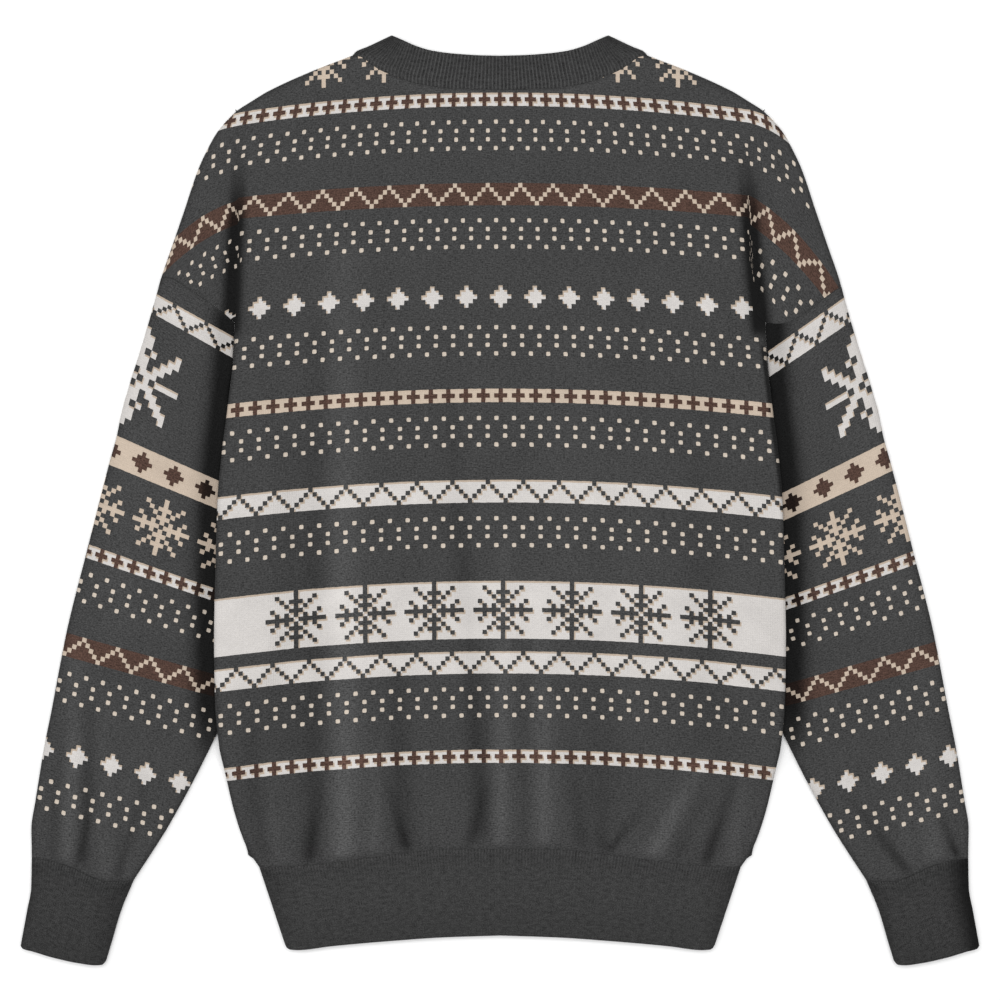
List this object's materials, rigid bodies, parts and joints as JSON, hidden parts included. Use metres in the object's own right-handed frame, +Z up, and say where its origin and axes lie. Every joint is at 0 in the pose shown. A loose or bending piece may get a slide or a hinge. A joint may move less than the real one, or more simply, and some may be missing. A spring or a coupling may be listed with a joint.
{
  "type": "christmas sweater",
  "caption": "Knitted drop-shoulder crew-neck sweater with traditional banded pattern, laid flat with its back up and its sleeves beside the body.",
  "frame": {"origin": "on the surface the sweater lies on, at the middle of its box in plan", "axes": "+X towards the right-hand sleeve as seen from above, +Y from hem to neck, +Z up, out of the back"},
  "size_m": [0.7208, 0.6989, 0.0119],
  "materials": {
    "patterned_knit": "charcoal heather jersey knit with off-white, beige and brown bands of snowflakes, zigzags, diamonds and dots, matt",
    "rib_knit": "charcoal heather fine rib, matt"
  },
  "bodies": {
    "root": {"back_panel": "patterned_knit", "front_panel": "patterned_knit", "sleeve_left": "patterned_knit", "sleeve_right": "patterned_knit", "cuff_left": "rib_knit", "cuff_right": "rib_knit", "hem_band": "rib_knit", "neck_rib": "rib_knit"}
  },
  "joints": []
}
